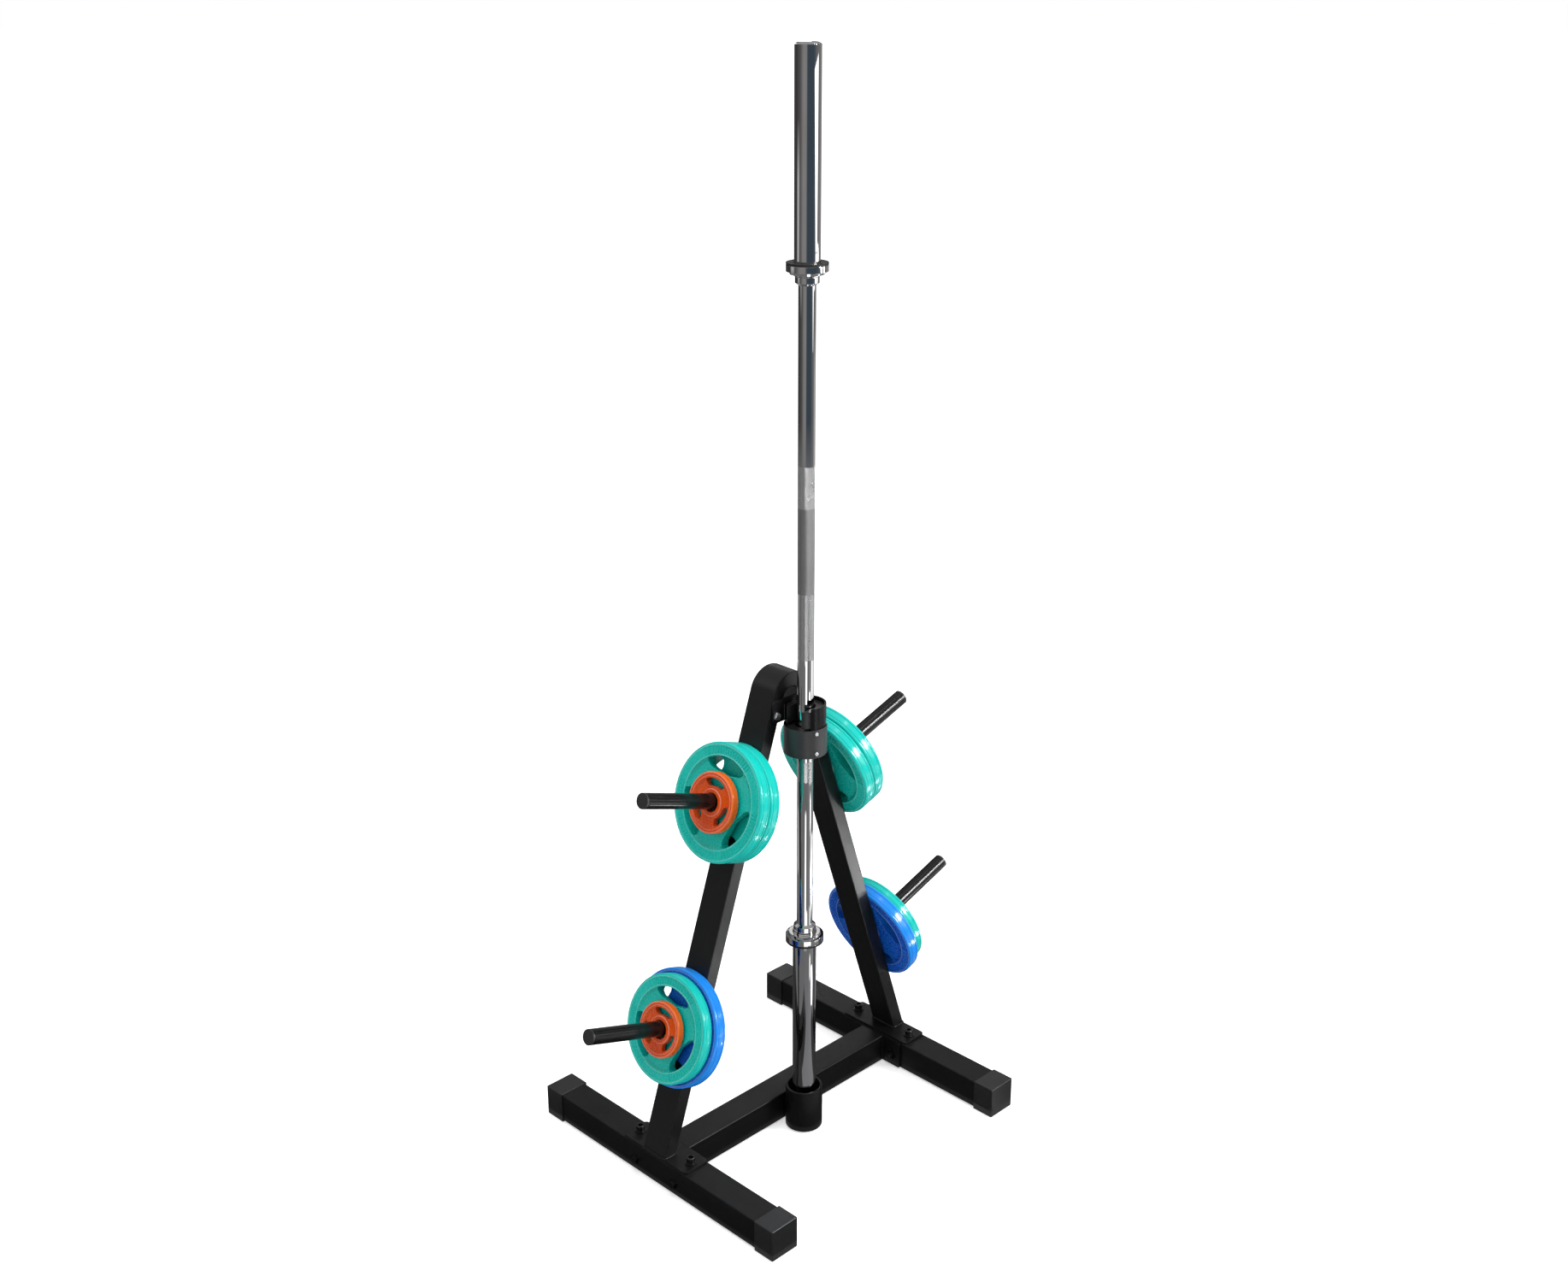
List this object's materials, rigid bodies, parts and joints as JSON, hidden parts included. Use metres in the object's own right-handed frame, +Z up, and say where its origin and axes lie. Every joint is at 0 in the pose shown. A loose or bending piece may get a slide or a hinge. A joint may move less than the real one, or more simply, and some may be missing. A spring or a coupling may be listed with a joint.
{
  "type": "weight plate rack",
  "caption": "Free-standing A-frame rack with sloping pegs that hold weight plates, and a cup and locking holder that keep a barbell upright.",
  "frame": {"origin": "on the floor, under the middle of the crossbar", "axes": "+X along the crossbar towards the right foot, +Y away from the barbell, +Z up"},
  "size_m": [1.0722, 0.7086, 2.2693],
  "materials": {
    "powder_coat": "satin black powder coat, fine texture",
    "black_plastic": "moulded, satin",
    "black_nylon": "moulded, matt",
    "black_rubber": "matt black",
    "chrome": "bright chrome, knurled grip zones",
    "bronze": "plain turned bronze",
    "zinc": "bright zinc plate",
    "black_oxide": "black oxide on steel, dull",
    "turquoise": "turquoise enamel, semi-gloss face and glossy rim",
    "orange": "orange enamel, semi-gloss",
    "blue": "blue enamel, semi-gloss face and glossy rim"
  },
  "bodies": {
    "root": {"left_foot": "powder_coat", "right_foot": "powder_coat", "crossbar": "powder_coat", "left_joint_plate": "powder_coat", "right_joint_plate": "powder_coat", "left_base_plate": "powder_coat", "right_base_plate": "powder_coat", "a_frame": "powder_coat", "bar_cup": "powder_coat", "holder_bracket": "powder_coat", "holder_tube": "powder_coat", "upper_left_peg": "powder_coat", "lower_left_peg": "powder_coat", "upper_right_peg": "powder_coat", "lower_right_peg": "powder_coat", "left_front_foot_cap": "black_plastic", "left_back_foot_cap": "black_plastic", "right_front_foot_cap": "black_plastic", "right_back_foot_cap": "black_plastic", "upper_left_peg_cap": "black_plastic", "lower_left_peg_cap": "black_plastic", "upper_right_peg_cap": "black_plastic", "lower_right_peg_cap": "black_plastic", "left_front_joint_bolt": "black_oxide", "left_front_base_bolt": "black_oxide", "left_back_joint_bolt": "black_oxide", "left_back_base_bolt": "black_oxide", "right_front_joint_bolt": "black_oxide", "right_front_base_bolt": "black_oxide", "right_back_joint_bolt": "black_oxide", "right_back_base_bolt": "black_oxide", "left_bracket_bolt": "zinc", "right_bracket_bolt": "zinc"},
    "bar_lock": {"lock_collar": "black_plastic", "lock_rotor": "black_nylon", "lower_collar_screw": "zinc", "upper_collar_screw": "zinc"},
    "barbell": {"bar_shaft": "chrome", "lower_retaining_ring": "zinc", "upper_retaining_ring": "zinc"},
    "lower_bar_end": {"lower_sleeve": "chrome", "lower_flange": "chrome", "lower_flange_ring": "black_rubber", "lower_end_cap": "chrome", "lower_bush": "bronze"},
    "upper_bar_end": {"upper_sleeve": "chrome", "upper_flange": "chrome", "upper_flange_ring": "black_rubber", "upper_end_cap": "chrome", "upper_bush": "bronze"},
    "upper_left_inner_disc": {"upper_left_inner_plate": "turquoise"},
    "upper_left_outer_disc": {"upper_left_outer_plate": "turquoise"},
    "upper_left_front_disc": {"upper_left_front_plate": "orange"},
    "lower_left_inner_disc": {"lower_left_inner_plate": "blue"},
    "lower_left_outer_disc": {"lower_left_outer_plate": "turquoise"},
    "lower_left_front_disc": {"lower_left_front_plate": "orange"},
    "upper_right_inner_disc": {"upper_right_inner_plate": "turquoise"},
    "upper_right_outer_disc": {"upper_right_outer_plate": "turquoise"},
    "lower_right_inner_disc": {"lower_right_inner_plate": "blue"},
    "lower_right_outer_disc": {"lower_right_outer_plate": "turquoise"}
  },
  "joints": [
    {"name": "bar_lock_turn", "type": "hinge", "parent": "root", "child": "bar_lock", "pos_m": [0, -0.073, 0.9262], "axis": [0, 0, -1], "range_deg": [0, 180]},
    {"name": "barbell_lift", "type": "slide", "parent": "root", "child": "barbell", "axis": [0, 0, 1], "range_m": [0, 0.396]},
    {"name": "lower_sleeve_spin", "type": "hinge", "parent": "barbell", "child": "lower_bar_end", "pos_m": [0, -0.073, 0.27], "axis": [0, 0, 1], "continuous": true},
    {"name": "upper_sleeve_spin", "type": "hinge", "parent": "barbell", "child": "upper_bar_end", "pos_m": [0, -0.073, 2.07], "axis": [0, 0, 1], "continuous": true},
    {"name": "upper_left_inner_plate_slide", "type": "slide", "parent": "root", "child": "upper_left_inner_disc", "axis": [-0.9469, 0, 0.3214], "range_m": [0, 0.2637]},
    {"name": "upper_left_outer_plate_slide", "type": "slide", "parent": "upper_left_inner_disc", "child": "upper_left_outer_disc", "axis": [-0.9469, 0, 0.3214], "range_m": [0, 0.2351]},
    {"name": "upper_left_front_plate_slide", "type": "slide", "parent": "upper_left_outer_disc", "child": "upper_left_front_disc", "axis": [-0.9469, 0, 0.3214], "range_m": [0, 0.2065]},
    {"name": "lower_left_inner_plate_slide", "type": "slide", "parent": "root", "child": "lower_left_inner_disc", "axis": [-0.9469, 0, 0.3214], "range_m": [0, 0.2637]},
    {"name": "lower_left_outer_plate_slide", "type": "slide", "parent": "lower_left_inner_disc", "child": "lower_left_outer_disc", "axis": [-0.9469, 0, 0.3214], "range_m": [0, 0.2351]},
    {"name": "lower_left_front_plate_slide", "type": "slide", "parent": "lower_left_outer_disc", "child": "lower_left_front_disc", "axis": [-0.9469, 0, 0.3214], "range_m": [0, 0.2096]},
    {"name": "upper_right_inner_plate_slide", "type": "slide", "parent": "root", "child": "upper_right_inner_disc", "axis": [0.9469, 0, 0.3214], "range_m": [0, 0.2637]},
    {"name": "upper_right_outer_plate_slide", "type": "slide", "parent": "upper_right_inner_disc", "child": "upper_right_outer_disc", "axis": [0.9469, 0, 0.3214], "range_m": [0, 0.2351]},
    {"name": "lower_right_inner_plate_slide", "type": "slide", "parent": "root", "child": "lower_right_inner_disc", "axis": [0.9469, 0, 0.3214], "range_m": [0, 0.2637]},
    {"name": "lower_right_outer_plate_slide", "type": "slide", "parent": "lower_right_inner_disc", "child": "lower_right_outer_disc", "axis": [0.9469, 0, 0.3214], "range_m": [0, 0.2351]}
  ]
}
